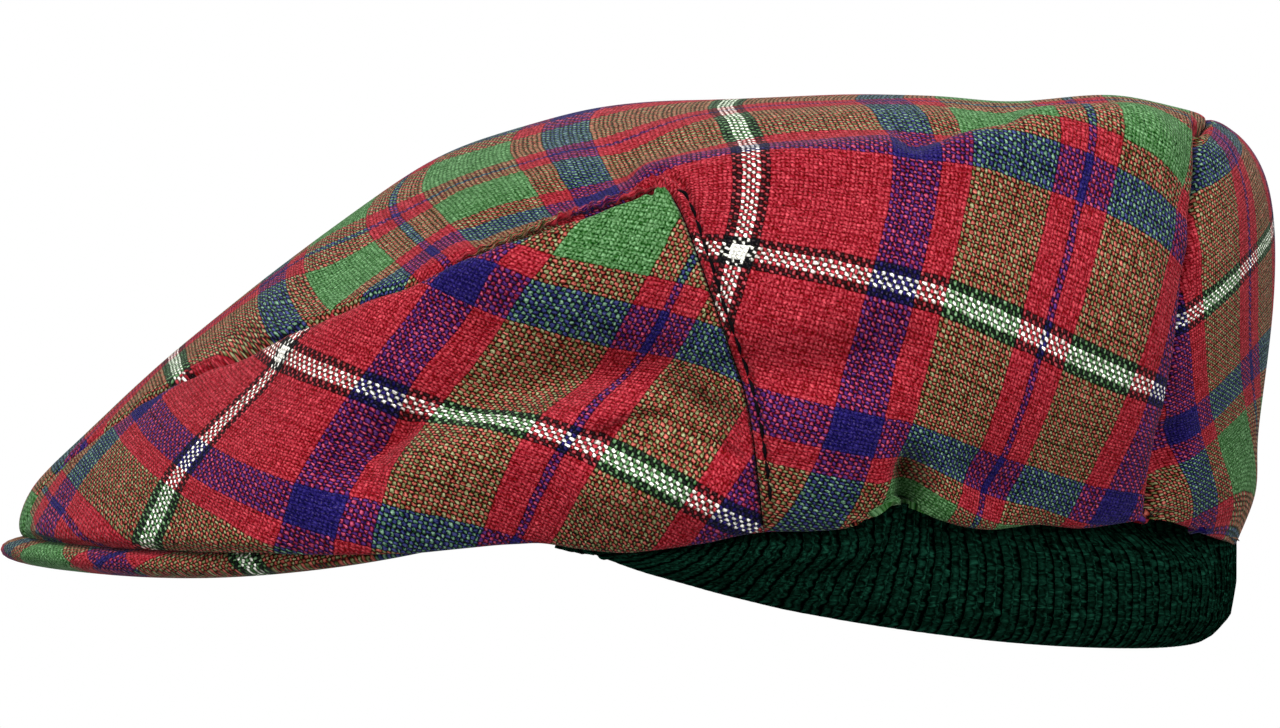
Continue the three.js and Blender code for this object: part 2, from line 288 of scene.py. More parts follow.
def makeTartanWeave():
    tree, start, end = newGroup(
        "tartanWeave",
        [("Threads", "NodeSocketVector")],
        [("Color", "NodeSocketColor"), ("Height", "NodeSocketFloat")])
    threads = start.outputs["Threads"]

    # threads stray a little, in long waves and in short ones
    stray = threads
    for size, reach in ((0.09, tartan["wander"]), (0.7, tartan["jitter"]), (1.7, 0.6 * tartan["jitter"])):
        moved = tree.nodes.new("ShaderNodeVectorMath")
        moved.operation = "MULTIPLY_ADD"
        tree.links.new(noiseNode(tree, stray, size, 2).outputs["Color"], moved.inputs[0])
        moved.inputs[1].default_value = (2 * reach, 2 * reach, 0)
        tree.links.new(stray, moved.inputs[2])
        settled = tree.nodes.new("ShaderNodeVectorMath")
        settled.operation = "SUBTRACT"
        tree.links.new(moved.outputs[0], settled.inputs[0])
        settled.inputs[1].default_value = (reach, reach, 0)
        stray = settled.outputs[0]
    split = tree.nodes.new("ShaderNodeSeparateXYZ")
    tree.links.new(stray, split.inputs[0])

    def unevenly(place, seed):
        # threads lie closer together in some places than in others
        sway = noiseNode(tree, joinXYZ(tree, place, seed), 0.85, 1).outputs["Fac"]
        sway = mathNode(tree, "SUBTRACT", sway, 0.5)
        return mathNode(tree, "MULTIPLY_ADD", sway, 4 * tartan["spacing"], place)

    along, across = unevenly(split.outputs["X"], 2.4), unevenly(split.outputs["Y"], 7.9)

    def threadSide(place, other, seed):
        # number, offset from the middle, colour and uneven tone of the threads counted by place
        number = mathNode(tree, "FLOOR", place)
        middle = mathNode(tree, "ADD", number, 0.5)
        offset = mathNode(tree, "SUBTRACT", place, middle)
        settPlace = mathNode(tree, "DIVIDE", mathNode(tree, "PINGPONG", middle, settLength), settLength)
        color = settRamp(tree, settPlace)
        slubPlace = joinXYZ(tree, mathNode(tree, "MULTIPLY", number, 3.7),
                            mathNode(tree, "MULTIPLY", other, 0.3), seed)
        slub = noiseNode(tree, slubPlace, 1.0, 2).outputs["Fac"]
        return number, offset, color, mathNode(tree, "MULTIPLY_ADD", slub, 0.7, 0.65)

    warpNumber, warpOffset, warpColor, warpTone = threadSide(along, across, 3.1)
    weftNumber, weftOffset, weftColor, weftTone = threadSide(across, along, 8.6)
    chance = tree.nodes.new("ShaderNodeTexWhiteNoise")
    tree.links.new(joinXYZ(tree, warpNumber, weftNumber), chance.inputs["Vector"])
    luck = chance.outputs["Value"]

    def threadHeight(offset, run, runOffset, number, sign):
        # a round, twisted thread that passes over and under those it crosses
        wave = mathNode(tree, "SINE", mathNode(tree, "MULTIPLY", mathNode(tree, "ADD", run, number), math.pi))
        side = mathNode(tree, "MULTIPLY_ADD", runOffset, tartan["twist"], offset)
        square = mathNode(tree, "POWER",
                          mathNode(tree, "MULTIPLY", mathNode(tree, "ABSOLUTE", side), 2.1), 2.0)
        dome = mathNode(tree, "SQRT", mathNode(tree, "SUBTRACT", 1.0, square, clamp=True))
        return dome, mathNode(tree, "MULTIPLY_ADD", wave, tartan["crimp"] * sign, dome)

    warpDome, warpHeight = threadHeight(warpOffset, across, weftOffset, warpNumber, 1)
    weftDome, weftHeight = threadHeight(weftOffset, along, warpOffset, weftNumber, -1)
    lead = mathNode(tree, "SUBTRACT", warpHeight, weftHeight)
    warpOver = mathNode(tree, "MULTIPLY_ADD", lead, 6.0, 0.5, clamp=True)
    top = mathNode(tree, "MAXIMUM", warpHeight, weftHeight)
    height = mathNode(tree, "DIVIDE", top, 1.0 + tartan["crimp"], clamp=True)

    def ofUpper(warp, weft):
        # the value for whichever thread lies on top here
        return mathNode(tree, "MULTIPLY_ADD", mathNode(tree, "SUBTRACT", warp, weft), warpOver, weft)

    color = mixColors(tree, "MIX", warpOver, weftColor, warpColor)
    crossed = mixColors(tree, "MIX", warpOver, warpColor, weftColor)
    dyed = mathNode(tree, "MULTIPLY_ADD", brightness(tree, crossed), -2.0, 1.5, clamp=True)
    takes = mathNode(tree, "DIVIDE", brightness(tree, color), brightness(tree, crossed), clamp=True)
    takes = mathNode(tree, "SQRT", takes)
    bleed = mathNode(tree, "MULTIPLY", mathNode(tree, "MULTIPLY", dyed, takes), tartan["bleed"])
    color = mixColors(tree, "MIX", bleed, color, crossed)

    # painted shade along the floats' edges and in the gaps, and a painted highlight on their middles, but
    # less shade where a colour crosses itself
    risen = mathNode(tree, "SUBTRACT", height, tartan["gapHeight"])
    risen = mathNode(tree, "DIVIDE", risen, 1.0 - tartan["gapHeight"], clamp=True)
    lit = mathNode(tree, "MULTIPLY", ofUpper(warpDome, weftDome), risen)
    gap = mathNode(tree, "MULTIPLY_ADD", lit, tartan["floatLight"] - tartan["gapShade"], tartan["gapShade"])
    differs = tree.nodes.new("ShaderNodeVectorMath")
    differs.operation = "DISTANCE"
    tree.links.new(warpColor, differs.inputs[0])
    tree.links.new(weftColor, differs.inputs[1])
    same = mathNode(tree, "MULTIPLY_ADD", differs.outputs["Value"], -5.0, 1.0, clamp=True)
    filled = mathNode(tree, "MULTIPLY", same, tartan["evenGap"])
    gap = mathNode(tree, "MULTIPLY_ADD", mathNode(tree, "SUBTRACT", 1.0, gap), filled, gap)

    # uneven yarn and stray fibres
    fibre = noiseNode(tree, stray, 1.7, 4).outputs["Fac"]
    grain = mathNode(tree, "MULTIPLY_ADD", fibre, 3.3, -0.65)
    grain = mathNode(tree, "MAXIMUM", grain, 0.15)
    floatTone = mathNode(tree, "MULTIPLY_ADD", luck, tartan["unevenYarn"], 1.0 - tartan["unevenYarn"] / 2)
    tone = mathNode(tree, "MULTIPLY", ofUpper(warpTone, weftTone), floatTone)
    tone = mathNode(tree, "MULTIPLY", tone, grain)
    # the painted light and shade times the yarn's uneven tone, kept lower on dark dyes
    full = mathNode(tree, "MULTIPLY", gap, tone)
    light, crossedLight = brightness(tree, color), brightness(tree, crossed)
    full = mathNode(tree, "MULTIPLY", full, mathNode(tree, "MULTIPLY_ADD", light, 14.0, 0.46, clamp=True))
    shaded = mixColors(tree, "MULTIPLY", 1.0, color, joinXYZ(tree, full, full, full))
    # painted highlight and shade: grey added on the brightest float tops, taken away in the gaps
    pale = mathNode(tree, "MULTIPLY_ADD", full, tartan["highlightPaling"], -0.9 * tartan["highlightPaling"])
    pale = mathNode(tree, "MULTIPLY", pale, mathNode(tree, "MINIMUM", light, 0.2))
    stands = mathNode(tree, "SUBTRACT", 2.0, mathNode(tree, "DIVIDE", crossedLight, light, clamp=True))
    pale = mathNode(tree, "MULTIPLY", pale, stands)
    paled = tree.nodes.new("ShaderNodeVectorMath")
    tree.links.new(shaded, paled.inputs[0])
    tree.links.new(joinXYZ(tree, pale, pale, pale), paled.inputs[1])
    shaded = mixColors(tree, "LIGHTEN", 1.0, paled.outputs[0], (0.001, 0.001, 0.001))
    # pale fibres only where the float tops are lit: partly the wool's fuzz, partly a painted highlight
    fuzz = noiseNode(tree, stray, 2.7, 3).outputs["Fac"]
    fuzz = mathNode(tree, "MULTIPLY_ADD", fuzz, 6.0, -3.2, clamp=True)
    fuzz = mathNode(tree, "MULTIPLY", mathNode(tree, "MULTIPLY", fuzz, lit), tartan["fuzzHighlight"])
    soft = mixColors(tree, "MIX", 0.55, color, (0.55, 0.42, 0.36))
    napped = mixColors(tree, "MIX", fuzz, shaded, soft)
    relief = mathNode(tree, "MULTIPLY_ADD", fibre, 0.4, height)
    tree.links.new(napped, end.inputs["Color"])
    tree.links.new(relief, end.inputs["Height"])
    return tree


woolFinish = {"roughness": 0.9, "sheen": 0.08, "sheenRoughness": 0.3,
              "relief": 0.00045, "reliefStrength": 0.8}


def makeTartanWool():
    wool = bpy.data.materials.new("tartanWool")
    wool.use_nodes = True
    nodes, links = wool.node_tree.nodes, wool.node_tree.links
    shader = nodes["Principled BSDF"]
    threads = nodes.new("ShaderNodeUVMap")
    threads.uv_map = "threads"
    weave = nodes.new("ShaderNodeGroup")
    weave.node_tree = makeTartanWeave()
    bump = nodes.new("ShaderNodeBump")
    bump.inputs["Strength"].default_value = woolFinish["reliefStrength"]
    bump.inputs["Distance"].default_value = woolFinish["relief"]
    links.new(threads.outputs["UV"], weave.inputs["Threads"])
    links.new(weave.outputs["Color"], shader.inputs["Base Color"])
    links.new(weave.outputs["Height"], bump.inputs["Height"])
    links.new(bump.outputs["Normal"], shader.inputs["Normal"])
    shader.inputs["Roughness"].default_value = woolFinish["roughness"]
    shader.inputs["Specular IOR Level"].default_value = 0.06
    shader.inputs["Sheen Weight"].default_value = woolFinish["sheen"]
    shader.inputs["Sheen Roughness"].default_value = woolFinish["sheenRoughness"]
    return wool


tartanWool = makeTartanWool()
print("tartan: half sett of", settLength, "threads")


# Middles of the stripes, counted in threads from the white one
stripeMiddles = {"white": 0, "navy": 35.5, "green": 58.5, "line": settLength}


def stripePlace(stripe):
    # "-" is before the white stripe, and "Next" past the single navy line
    if stripe is None or isinstance(stripe, (int, float)):
        return stripe
    place = stripeMiddles[stripe.strip("-").replace("Next", "")]
    if stripe.endswith("Next"):
        place = 2 * settLength - place
    return -place if stripe.startswith("-") else place


# Cloth panels. Marks say which stripes cross at a pixel of the photo, lengthwise count first
frontMarks = [
    ((283, 354), "white", "white"), ((374, 390), "navy", "white"), ((488, 418), "green", "white"),
    ((565, 440), "line", "white"), ((648, 475), "greenNext", "white"), ((736, 521), "navyNext", "white"),
    ((193, 457), "white", "-navy"), ((158, 514), "white", "-green"), ((313, 512), "navy", "-navy"),
    ((430, 536), "green", "-navy"), ((460, 276), "navy", "navy"), ((572, 314), "green", "navy"),
    ((653, 333), "line", "navy"), ((518, 535), "line", None), ((92, 456), "-navy", "-green"),
    ((66, 517), None, "-line"), ((220, 420), "white", None), ((649, 276), 69, 48),
    ((91, 539), None, "-line"), ((110, 534), None, -69), ((193, 503), None, -48), ((245, 531), None, -48),
]
panels = {
    "topPanel": {
        "node": "top_panel", "toward": (0, 0, 1), "levels": 3, "side": 1,
        "marks": [
            ((737, 252), "white", "white"), ((894, 281), "navy", "white"), ((983, 314), "green", "white"),
            ((1045, 338), "line", "white"), ((1099, 369), "greenNext", "white"), ((1160, 393), None, "white"),
            ((854, 435), "navy", "-navy"), ((945, 457), "green", "-navy"), ((990, 474), "line", "-navy"),
            ((1046, 492), "greenNext", "-navy"), ((1118, 508), "navyNext", "-navy"), ((901, 474), None, -48),
            ((830, 266), None, "white"), ((960, 305), None, "white"), ((747, 200), "white", None),
            ((1018, 152), "green", "navy"), ((1085, 180), "line", "navy"), ((1145, 207), "greenNext", "navy"),
            ((918, 152), "navy", 33), ((755, 165), "white", 26), ((728, 290), "white", None),
            ((800, 158), None, 27), ((850, 157), None, 28), ((705, 166), None, 25),
            ((741, 132), "white", 52), ((901, 118), "navy", 56), ((583, 173), "-navy", "green"),
            ((487, 198), "-green", "green"), ((395, 215), "-line", "line"),
            ((352, 278), "-greenNext", "green"),
            ((277, 313), "-navyNext", "green"), ((177, 371), "-whiteNext", 50),
            ((502, 217), "-green", "navy"),
        ],
    },
    "frontSideLeft": {
        "node": "front_side_left", "toward": (1, 0, 0), "levels": 4, "side": 1, "marks": frontMarks,
    },
    "frontSideRight": {
        "node": "front_side_right", "toward": (-1, 0, 0), "levels": 4, "side": -1, "marks": frontMarks,
    },
    "backPanel": {
        "node": "back_panel", "toward": (0, 1, 0), "levels": 4, "side": 1,
        "marks": [
            ((1225, 288), "green", "white"), ((1252, 262), "line", "white"), ((1206, 306), None, "white"),
            ((1213, 160), "green", "navy"), ((1192, 428), "navy", "-navy"), ((1224, 392), "green", "-navy"),
            ((1249, 366), "line", "-navy"), ((1242, 190), "line", None),
            ((1243, 450), "green", "-green"), ((1199, 480), "navy", "-green"),
            ((1195, 240), 48, None), ((1204, 292), 48, None),
        ],
    },
}


def takeSkin(pieceName, nodeName, toward):
    # the outer skin of a panel's CAD wall, as quads
    piece = bpy.data.objects.new(pieceName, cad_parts[nodeName].data.copy())
    scene.collection.objects.link(piece)
    piece.data.materials.clear()
    makeActive(piece)
    bpy.ops.object.mode_set(mode="EDIT")
    bpy.ops.mesh.select_mode(type="FACE")
    bpy.ops.mesh.select_all(action="SELECT")
    bpy.ops.mesh.remove_doubles(threshold=1e-6)
    bpy.ops.mesh.select_all(action="DESELECT")
    mesh = bmesh.from_edit_mesh(piece.data)
    outermost = max(mesh.faces, key=lambda face: face.calc_center_median().dot(Vector(toward)))
    outermost.select_set(True)
    mesh.faces.active = outermost
    bmesh.update_edit_mesh(piece.data)
    bpy.ops.mesh.faces_select_linked_flat(sharpness=math.radians(60))
    bpy.ops.mesh.select_all(action="INVERT")
    bpy.ops.mesh.delete(type="FACE")
    bpy.ops.mesh.select_all(action="SELECT")
    bpy.ops.mesh.tris_convert_to_quads(
        face_threshold=math.pi, shape_threshold=math.pi, topology_influence=2.0)
    bpy.ops.object.mode_set(mode="OBJECT")
    return piece


def cutFlat(piece):
    # the panel's flat cutting pattern as a UV map, with metres for units
    makeActive(piece)
    bpy.ops.object.mode_set(mode="EDIT")
    bpy.ops.mesh.select_all(action="SELECT")
    bpy.ops.uv.unwrap(method="MINIMUM_STRETCH", margin=0.0)
    bpy.ops.object.mode_set(mode="OBJECT")
    mesh = piece.data
    layer = mesh.uv_layers.active
    layer.name = "threads"
    surface = sum(face.area for face in mesh.polygons)
    flat = 0.0
    for face in mesh.polygons:
        corners = [layer.data[k].uv for k in face.loop_indices]
        flat += abs(sum(a.cross(b) for a, b in zip(corners, corners[1:] + corners[:1]))) / 2
    scale = math.sqrt(surface / flat)
    for corner in layer.data:
        corner.uv = corner.uv * scale
    return surface


def patternAt(piece, pixel, side):
    # the place in the cutting pattern that shows at a pixel of the photo
    eye, ray = photoRay(pixel, side)
    hit, place, normal, index = piece.ray_cast(eye, ray)
    if not hit or normal.dot(ray) > 0:
        return None
    face = piece.data.polygons[index]
    corners = [piece.data.vertices[v].co for v in face.vertices]
    shares = interpolate.poly_3d_calc(corners, place)
    found = Vector((0, 0))
    for share, k in zip(shares, face.loop_indices):
        found += piece.data.uv_layers["threads"].data[k].uv * share
    return found


def turned(spots, turn):
    return spots @ np.array([[math.cos(turn), math.sin(turn)], [-math.sin(turn), math.cos(turn)]])


def layTartan(piece, marks, side):
    # turns and shifts the pattern to the marks, then eases it onto them as pulled cloth gives
    spots, goals = [], []
    for pixel, lengthwise, crosswise in marks:
        place = patternAt(piece, pixel, side)
        if place is None:
            print("  no cloth of", piece.name, "at", pixel)
            continue
        spots.append((place.x, place.y * side))
        goals.append([np.nan if g is None else g for g in (stripePlace(lengthwise), stripePlace(crosswise))])
    spots, goals = np.array(spots) / tartan["pitch"], np.array(goals, dtype=float)

    def leftOver(turn):
        gaps = goals - turned(spots, turn)
        return gaps - np.nanmean(gaps, axis=0), np.nanmean(gaps, axis=0)

    turn = min(np.radians(np.arange(0, 360, 0.25)), key=lambda t: np.nansum(leftOver(t)[0] ** 2))
    gaps, shift = leftOver(turn)
    print("  ", piece.name, "turned", round(math.degrees(turn), 1),
          "largest pull", np.nanmax(np.abs(gaps)).round(1))

    layer = piece.data.uv_layers["threads"].data
    corners = np.empty(2 * len(layer), dtype=np.float32)
    layer.foreach_get("uv", corners)
    corners = corners.reshape(-1, 2) * (1, side) / tartan["pitch"]
    laid = turned(corners, turn) + shift
    reach = tartan["pullReach"] / tartan["pitch"]
    for k in (0, 1):
        known = ~np.isnan(gaps[:, k])
        marked = spots[known]
        between = ((marked[:, None] - marked[None]) ** 2).sum(-1)
        pulls = np.linalg.solve(np.exp(-between / reach ** 2) + 0.015 * np.eye(len(marked)), gaps[known, k])
        for spot, pull in zip(marked, pulls):
            laid[:, k] += pull * np.exp(-((corners - spot) ** 2).sum(-1) / reach ** 2)
    layer.foreach_set("uv", laid.astype(np.float32).ravel())


cloth = {
    "wall": 0.0016,
    "seamReach": 0.0032,     # a panel edge this near another panel is sewn to it
    "earStart": -0.031,      # the front seam turns down to the ear here
    "seamFade": 0.010,       # seams get shallow this near the rim
    "fineReach": 0.0042,     # finer faces this near the front and ear seams
    "sewnWithin": 0.0075,    # the widest gap that sewing closes
    "touching": 0.0006,      # edges this near are sewn whichever way they face
    "facing": 0.35,          # otherwise an edge faces the other panel at least this much
    "sewnGap": 0.0002,       # left between sewn edges
    "sewReach": 0.0045,      # how far from a seam cloth gives to meet the top panel
    "allowance": 0.0036,     # cloth left over at a seam, lying under the top panel
    "allowanceDepth": 0.0023,
    "rimClear": 0.0060,      # the allowance ends this far above the rim
    "pucker": 0.00045,
    "puckerLength": 0.009,
    "puckerReach": 0.010,
    "unevenness": 0.0007,
    "unevenSize": 0.030,
}

# How cloth rolls down to each kind of seam
edgeRolls = {
    "front": {"roll": 0.0032, "depth": 0.0022},
    "ear": {"roll": 0.0030, "depth": 0.0017},
    "back": {"roll": 0.0090, "depth": 0.0040},
    "backOver": {"roll": 0.0040, "depth": 0.0058},     # the top panel's side of the back seam
}
backGroove = {"roll": 0.0042, "depth": 0.0070, "shallow": (0.014, 0.040), "shares": (0.12, 1.0),
              "overShares": (0.25, 1.0)}
earWelt = {"rise": 0.0007, "middle": 0.0012, "width": 0.0010, "stitchWidth": 0.0008, "stitchDepth": 0.0016,
           "stitchHeights": (0.0, 0.030, 0.054, 0.070, 0.080),
           "stitchLines": (0.0022, 0.0020, 0.0017, 0.0022, 0.0030)}
tack = {"pixel": (899, 505), "reach": 55, "below": 0.030, "smooth": 10}

# Where the rim hangs on both sides, along the photo; the cloth over it is drawn down to these pixels
rimHang = {
    "pixels": ((24, 539), (60, 544), (120, 549), (200, 552), (250, 554), (330, 557), (420, 553), (500, 545),
               (540, 543), (594, 551), (626, 553), (667, 549), (713, 543), (736, 537), (764, 533), (815, 532),
               (860, 529), (876, 521), (888, 511), (897, 507), (906, 509), (916, 512), (944, 523), (972, 528),
               (993, 530), (1035, 524), (1080, 529), (1132, 522), (1158, 519), (1181, 526), (1212, 536),
               (1235, 547)),
    "from": 20,
    "reach": 0.022,     # how far up the cloth gives
    "bin": 8,
    "backTuck": 0.0012,
}

# Folds and hollows of the worn cloth on both sides: paths in photo pixels, widths and lifts in metres
clothFolds = [
    {"name": "crease by the ear", "path": ((600, 438), (625, 424), (643, 420),
                                           (662, 425), (692, 439), (736, 458)),
     "width": 0.0011, "lift": -0.0019},
    {"name": "roll over the crease", "path": ((640, 376), (690, 386), (735, 406)),
     "width": 0.0036, "lift": 0.0014},
    {"name": "roll under the crease", "path": ((600, 490), (680, 488), (742, 510)),
     "width": 0.0075, "lift": 0.0032},
    {"name": "dip at the crease's end", "path": ((598, 440), (640, 436)), "width": 0.0044, "lift": -0.0044},
    {"name": "end of the long hollow", "path": ((370, 436), (388, 418)), "width": 0.0045, "lift": -0.0044},
    {"name": "long hollow before the ear",
     "path": ((352, 466), (372, 438), (400, 412), (470, 391), (530, 377), (600, 370), (650, 388), (706, 422)),
     "width": 0.0085, "lift": -0.0078},
    {"name": "broad hollow before the ear", "path": ((480, 352), (570, 350), (640, 350)),
     "width": 0.0145, "lift": -0.0084},
    {"name": "swell under the hollow", "path": ((450, 462), (540, 440), (600, 420)),
     "width": 0.0070, "lift": 0.0012},
    {"name": "swell over the front seam", "path": ((300, 350), (370, 316), (440, 284), (500, 266)),
     "width": 0.0062, "lift": 0.0028},
    {"name": "hollow over the front seam", "path": ((480, 230), (525, 211), (575, 192), (622, 176)),
     "width": 0.0038, "lift": -0.0030},
    {"name": "swell over the hollow", "path": ((470, 205), (520, 185), (570, 170)),
     "width": 0.0060, "lift": 0.0014},
    {"name": "pinch over the tack", "path": ((908, 504), (912, 486), (907, 468)),
     "width": 0.0034, "lift": -0.0085},
    {"name": "ridge before the tack", "path": ((886, 510), (885, 484), (894, 462)),
     "width": 0.0030, "lift": 0.0032},
    {"name": "puff before the tack", "path": ((848, 505), (862, 455)), "width": 0.0070, "lift": 0.0014},
    {"name": "puff behind the tack", "path": ((950, 508), (930, 455)), "width": 0.0080, "lift": 0.0018},
    {"name": "hollow behind the ear", "path": ((735, 374), (800, 374), (860, 366), (888, 352)),
     "width": 0.0080, "lift": -0.0048},
    {"name": "shadowed dip behind the shoulder", "path": ((915, 140), (945, 130), (972, 122), (1000, 118)),
     "width": 0.0040, "lift": -0.0050},
    {"name": "overhang above the peak", "path": ((50, 530), (120, 536), (200, 539), (270, 541)),
     "width": 0.0040, "lift": 0.0022},
    {"name": "dip by the back seam", "path": ((1171, 432), (1166, 468)), "width": 0.0030, "lift": -0.0034},
    {"name": "dip over the rim", "path": ((968, 470), (985, 482), (1000, 488)),
     "width": 0.0045, "lift": -0.0032},
    {"name": "dip at the front's corner", "path": ((750, 488), (755, 522)),
     "width": 0.0030, "lift": -0.0026},
    {"name": "swell by the back seam", "path": ((1158, 250), (1145, 330), (1132, 430)),
     "width": 0.0085, "lift": 0.0012},
]
# and those on top, by places on the left half
topFolds = [
    {"name": "shoulder", "path": ((0.0790, -0.040, 0.0815), (0.0816, -0.025, 0.0832),
                                  (0.0835, -0.002, 0.0850),
                                  (0.0830, 0.0200, 0.0853)),
     "width": 0.0060, "lift": 0.0024},
    {"name": "hollow behind the shoulder", "path": ((0.0690, -0.038, 0.0875), (0.0715, 0.000, 0.0905),
                                                    (0.0700, 0.016, 0.0910)),
     "width": 0.0075, "lift": -0.0022},
    {"name": "swell at the back of the shoulder", "path": ((0.0790, 0.034, 0.0855), (0.0745, 0.047, 0.0890),
                                                           (0.0680, 0.060, 0.0910), (0.0600, 0.073, 0.0905)),
     "width": 0.0110, "lift": 0.0050},
    {"name": "dip on top", "path": ((0.0, 0.045, 0.0990), (0.05, 0.045, 0.0965)),
     "width": 0.0130, "lift": -0.0012},
    {"name": "rise on top", "path": ((0.0, 0.069, 0.0985), (0.04, 0.069, 0.0965)),
     "width": 0.0110, "lift": 0.0010},
]
backPuff = {"height": 0.012, "width": 0.0075, "lift": 0.0016}


def edgeSpots(piece):
    # points along a panel's free edges, close together
    mesh = bmesh.new()
    mesh.from_mesh(piece.data)
    spots = []
    for edge in mesh.edges:
        if edge.is_boundary:
            a, b = (vertex.co.copy() for vertex in edge.verts)
            spots += [a.lerp(b, t / 4) for t in range(4)]
    mesh.free()
    return spots


def treeOf(spots):
    tree = kdtree.KDTree(len(spots))
    for k, spot in enumerate(spots):
        tree.insert(spot, k)
    tree.balance()
    return tree


def sortEdges(made):
    # each panel's edge points with the kind of edge they are on
    edges = {name: edgeSpots(piece) for name, piece in made.items()}
    trees = {name: treeOf(spots) for name, spots in edges.items()}
    kinds = {}
    for name, spots in edges.items():
        kinds[name] = []
        for spot in spots:
            near = [other for other in made
                    if other != name and trees[other].find(spot)[2] < cloth["seamReach"]]
            if not near:
                kinds[name].append("rim")
            elif name == "backPanel" or "backPanel" in near:
                kinds[name].append("back")
            else:
                kinds[name].append("ear" if spot.y > cloth["earStart"] else "front")
    return edges, kinds


def refineNear(piece, spots, reach):
    tree = treeOf(spots)
    makeActive(piece)
    bpy.ops.object.mode_set(mode="EDIT")
    bpy.ops.mesh.select_mode(type="FACE")
    bpy.ops.mesh.select_all(action="DESELECT")
    mesh = bmesh.from_edit_mesh(piece.data)
    for face in mesh.faces:
        face.select_set(tree.find(face.calc_center_median())[2] < reach)
    bmesh.update_edit_mesh(piece.data)
    bpy.ops.mesh.subdivide(number_cuts=1)
    bpy.ops.object.mode_set(mode="OBJECT")


def awayFrom(spots, path):
    # how far each spot is from a path of straight runs
    nearest = np.full(len(spots), np.inf)
    for start, end in zip(path, path[1:]):
        start, run = np.array(start, dtype=float), np.array(end, dtype=float) - np.array(start, dtype=float)
        share = np.clip((spots - start) @ run / (run @ run), 0, 1)
        nearest = np.minimum(nearest, np.linalg.norm(spots - start - share[:, None] * run, axis=1))
    return nearest


def outwardAt(vertex):
    # cloth swells along its normal, but straight out where it faces down at the rim
    level = Vector((vertex.co.x, vertex.co.y, 0)).normalized()
    share = min(1.0, max(0.0, -vertex.normal.z / 0.5))
    return vertex.normal.lerp(level, share).normalized()


def foldLifts(piece):
    # folds fade out where the cloth turns away from the side
    places, pixels, facing = [], [], []
    for vertex in piece.data.vertices:
        places.append((abs(vertex.co.x), vertex.co.y, vertex.co.z))
        pixels.append(photoPixel(vertex.co))
        facing.append(abs(outwardAt(vertex).x))
    places, pixels = np.array(places), np.array(pixels)
    facing = np.clip((np.array(facing) - 0.10) * 4, 0, 1)
    lifts = np.zeros(len(places))
    for fold in clothFolds:
        away = awayFrom(pixels, fold["path"]) * photoView["pixelSize"]
        lifts += fold["lift"] * np.exp(-(away / fold["width"]) ** 2) * facing
    if piece.name == "topPanel":
        for fold in topFolds:
            lifts += fold["lift"] * np.exp(-(awayFrom(places, fold["path"]) / fold["width"]) ** 2)
    if piece.name == "backPanel":
        lifts += backPuff["lift"] * np.exp(-((places[:, 2] - backPuff["height"]) / backPuff["width"]) ** 2)
    return lifts


def stitchAway(z):
    return np.interp(z, earWelt["stitchHeights"], earWelt["stitchLines"])


def easeTack(piece):
    makeActive(piece)
    bpy.ops.object.mode_set(mode="EDIT")
    bpy.ops.mesh.select_mode(type="VERT")
    bpy.ops.mesh.select_all(action="DESELECT")
    mesh = bmesh.from_edit_mesh(piece.data)
    for vertex in mesh.verts:
        near = (photoPixel(vertex.co) - Vector(tack["pixel"])).length < tack["reach"]
        vertex.select_set(near and vertex.co.z < tack["below"])
    bmesh.update_edit_mesh(piece.data)
    bpy.ops.mesh.vertices_smooth(factor=0.5, repeat=tack["smooth"])
    bpy.ops.object.mode_set(mode="OBJECT")


def shapeCloth(piece, spots, kinds):
    # edges roll in, cloth puckers beside seams, and folds and an uneven lie go on top
    trees = {}
    for kind in set(kinds):
        trees[kind] = treeOf([spot for spot, found in zip(spots, kinds) if found == kind])
    moves = []
    for vertex, lift in zip(piece.data.vertices, foldLifts(piece)):
        place = vertex.co
        sink, wave = 0.0, 0.0
        aboveRim = min(1.0, trees["rim"].find(place)[2] / cloth["seamFade"])
        # the back seam is shallow near the rim and over the middle of the head
        shares = backGroove["overShares" if piece.name == "topPanel" else "shares"]
        backFade = (0.1 + 0.9 * aboveRim) * np.interp(abs(place.x), backGroove["shallow"], shares)
        for kind, fade in (("front", 1.0), ("ear", aboveRim), ("back", backFade)):
            if kind not in trees:
                continue
            spot, index, away = trees[kind].find(place)
            roll = edgeRolls["backOver" if kind == "back" and piece.name == "topPanel" else kind]
            depth = roll["depth"] * fade
            if away < roll["roll"]:
                share = 1 - away / roll["roll"]
                sink = max(sink, depth * (1 - math.sqrt(max(0.0, 1 - share * share))))
            if piece.name == "backPanel" and kind == "back" and away < backGroove["roll"]:
                share = 1 - away / backGroove["roll"]
                lift -= backGroove["depth"] * fade * (1 - math.sqrt(max(0.0, 1 - share * share)))
            if kind == "ear" and piece.name == "topPanel":
                welt = earWelt["rise"] * math.exp(-((away - earWelt["middle"]) / earWelt["width"]) ** 2)
                welt -= earWelt["stitchDepth"] * math.exp(
                    -((away - stitchAway(place.z)) / earWelt["stitchWidth"]) ** 2)
                lift += welt * aboveRim
            if away < 3 * cloth["puckerReach"]:
                wave += (noise.noise(spot / cloth["puckerLength"])
                         * math.exp(-(away / cloth["puckerReach"]) ** 2))
        lift += 2 * cloth["pucker"] * wave - sink
        lift += cloth["unevenness"] * noise.noise(place / cloth["unevenSize"])
        moves.append(outwardAt(vertex) * lift)
    for vertex, move in zip(piece.data.vertices, moves):
        vertex.co += move


def edgeWays(mesh):
    # each free edge with the way that leads off the cloth there
    ways = {}
    for edge in mesh.edges:
        if edge.is_boundary:
            face = edge.link_faces[0]
            start, end = edge.verts[0].co, edge.verts[1].co
            away = (end - start).cross(face.normal).normalized()
            if away.dot((start + end) / 2 - face.calc_center_median()) < 0:
                away.negate()
            ways[edge] = away
    return ways


